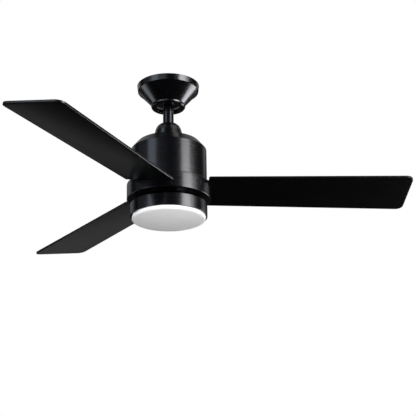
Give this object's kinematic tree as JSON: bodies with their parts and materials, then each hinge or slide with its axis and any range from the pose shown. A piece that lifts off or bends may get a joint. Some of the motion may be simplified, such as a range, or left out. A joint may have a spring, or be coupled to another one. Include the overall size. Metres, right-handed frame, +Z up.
{
  "type": "ceiling fan with light",
  "caption": "Downrod ceiling fan in satin black with wide flat pitched blades, a turning hub band round a fixed drum motor housing, and a round frosted LED light under it.",
  "frame": {"origin": "on the fan axis in the ceiling plane, midway between the two outlet-box screw slots", "axes": "+Z up along the fan axis, so the fan hangs below the origin; +X along the screw slots and along the first blade"},
  "size_m": [0.8945, 1.0278, 0.3422],
  "materials": {
    "black_metal": "satin black powder coat with soft reflections",
    "zinc_steel": "zinc plated sheet",
    "screw_steel": "zinc plated fasteners",
    "black_plastic": "fine textured moulding",
    "circuit_board": "green solder mask",
    "connector_plastic": "orange twist-on caps",
    "ground_green": "green plated screw",
    "ball_plastic": "filled nylon",
    "cast_iron": "painted casting",
    "shaft_steel": "turned steel",
    "lamination_steel": "stacked laminations",
    "copper": "enamelled copper wire",
    "bearing_steel": "ground and polished",
    "cast_aluminium": "die cast",
    "bracket_steel": "pressed steel, dark coat",
    "blade_board": "matte black film on board, with a faint grain",
    "white_plastic": "moulded plastic",
    "white_metal": "white reflector coat",
    "board_white": "white solder mask",
    "led_phosphor": "yellow phosphor",
    "wire_insulation": "coloured insulation",
    "frosted_acrylic": "opal acrylic, fine frosted"
  },
  "bodies": {
    "ceiling": {"hanger_bracket": "zinc_steel", "canopy": "black_metal", "canopy_screws": "screw_steel", "receiver_case": "black_plastic", "receiver_cover": "black_plastic", "receiver_board": "circuit_board", "wire_connectors": "connector_plastic", "ground_screw": "ground_green"},
    "trim_ring": {"canopy_trim_ring": "black_metal"},
    "pendant": {"hanger_ball": "ball_plastic", "ball_cross_pin": "screw_steel", "ball_set_screw": "screw_steel", "downrod": "black_metal", "coupling_cover": "black_metal", "yoke_coupling": "cast_iron", "yoke_pin": "screw_steel", "yoke_cotter": "screw_steel", "yoke_set_screws": "screw_steel", "motor_shaft": "shaft_steel", "motor_housing": "black_metal", "housing_screws": "screw_steel", "stator_core": "lamination_steel", "stator_windings": "copper", "upper_inner_race": "bearing_steel", "lower_inner_race": "bearing_steel", "light_adapter": "black_metal", "shaft_nut": "screw_steel", "light_pan": "black_metal", "light_pan_screws": "screw_steel", "run_capacitor": "white_plastic", "led_driver": "white_plastic", "led_plate": "white_metal", "led_plate_screws": "screw_steel", "led_board": "board_white", "led_chips": "led_phosphor", "supply_leads": "wire_insulation", "lead_plugs": "white_plastic", "reverse_switch_body": "white_plastic"},
    "rotor": {"upper_outer_race": "bearing_steel", "lower_outer_race": "bearing_steel", "rotor_case_upper": "cast_aluminium", "rotor_case_lower": "cast_aluminium", "rotor_ring": "lamination_steel", "case_screws": "screw_steel", "hub_band": "black_metal", "band_screws": "screw_steel", "blade_bracket_1": "bracket_steel", "blade_bracket_2": "bracket_steel", "blade_bracket_3": "bracket_steel", "bracket_screws": "screw_steel", "blade_1": "blade_board", "blade_2": "blade_board", "blade_3": "blade_board", "blade_screws": "screw_steel"},
    "upper_balls": {"upper_bearing_balls": "bearing_steel"},
    "lower_balls": {"lower_bearing_balls": "bearing_steel"},
    "lens_body": {"lens": "frosted_acrylic"},
    "switch_knob": {"reverse_switch_knob": "white_plastic"}
  },
  "joints": [
    {"name": "trim_ring_twist", "type": "hinge", "parent": "ceiling", "child": "trim_ring", "pos_m": [0, 0, -0.0535], "axis": [0, 0, 1], "range_deg": [0, 25]},
    {"name": "ball_tilt", "type": "hinge", "parent": "ceiling", "child": "pendant", "pos_m": [0, 0, -0.027], "axis": [1, 0, 0], "range_deg": [-15, 15]},
    {"name": "rotor_spin", "type": "hinge", "parent": "pendant", "child": "rotor", "pos_m": [0, 0, -0.2648], "axis": [0, 0, 1], "continuous": true},
    {"name": "upper_balls_roll", "type": "hinge", "parent": "pendant", "child": "upper_balls", "pos_m": [0, 0, -0.19], "axis": [0, 0, 1], "continuous": true},
    {"name": "lower_balls_roll", "type": "hinge", "parent": "pendant", "child": "lower_balls", "pos_m": [0, 0, -0.257], "axis": [0, 0, 1], "continuous": true},
    {"name": "lens_twist", "type": "hinge", "parent": "pendant", "child": "lens_body", "pos_m": [0, 0, -0.33], "axis": [0, 0, 1], "range_deg": [0, 22]},
    {"name": "reverse_slide", "type": "slide", "parent": "pendant", "child": "switch_knob", "axis": [1, 0, 0], "range_m": [0, 0.007]}
  ],
  "couplings": [
    {"joint": "upper_balls_roll", "follows": "rotor_spin", "ratio": 0.5947},
    {"joint": "lower_balls_roll", "follows": "rotor_spin", "ratio": 0.5947}
  ]
}
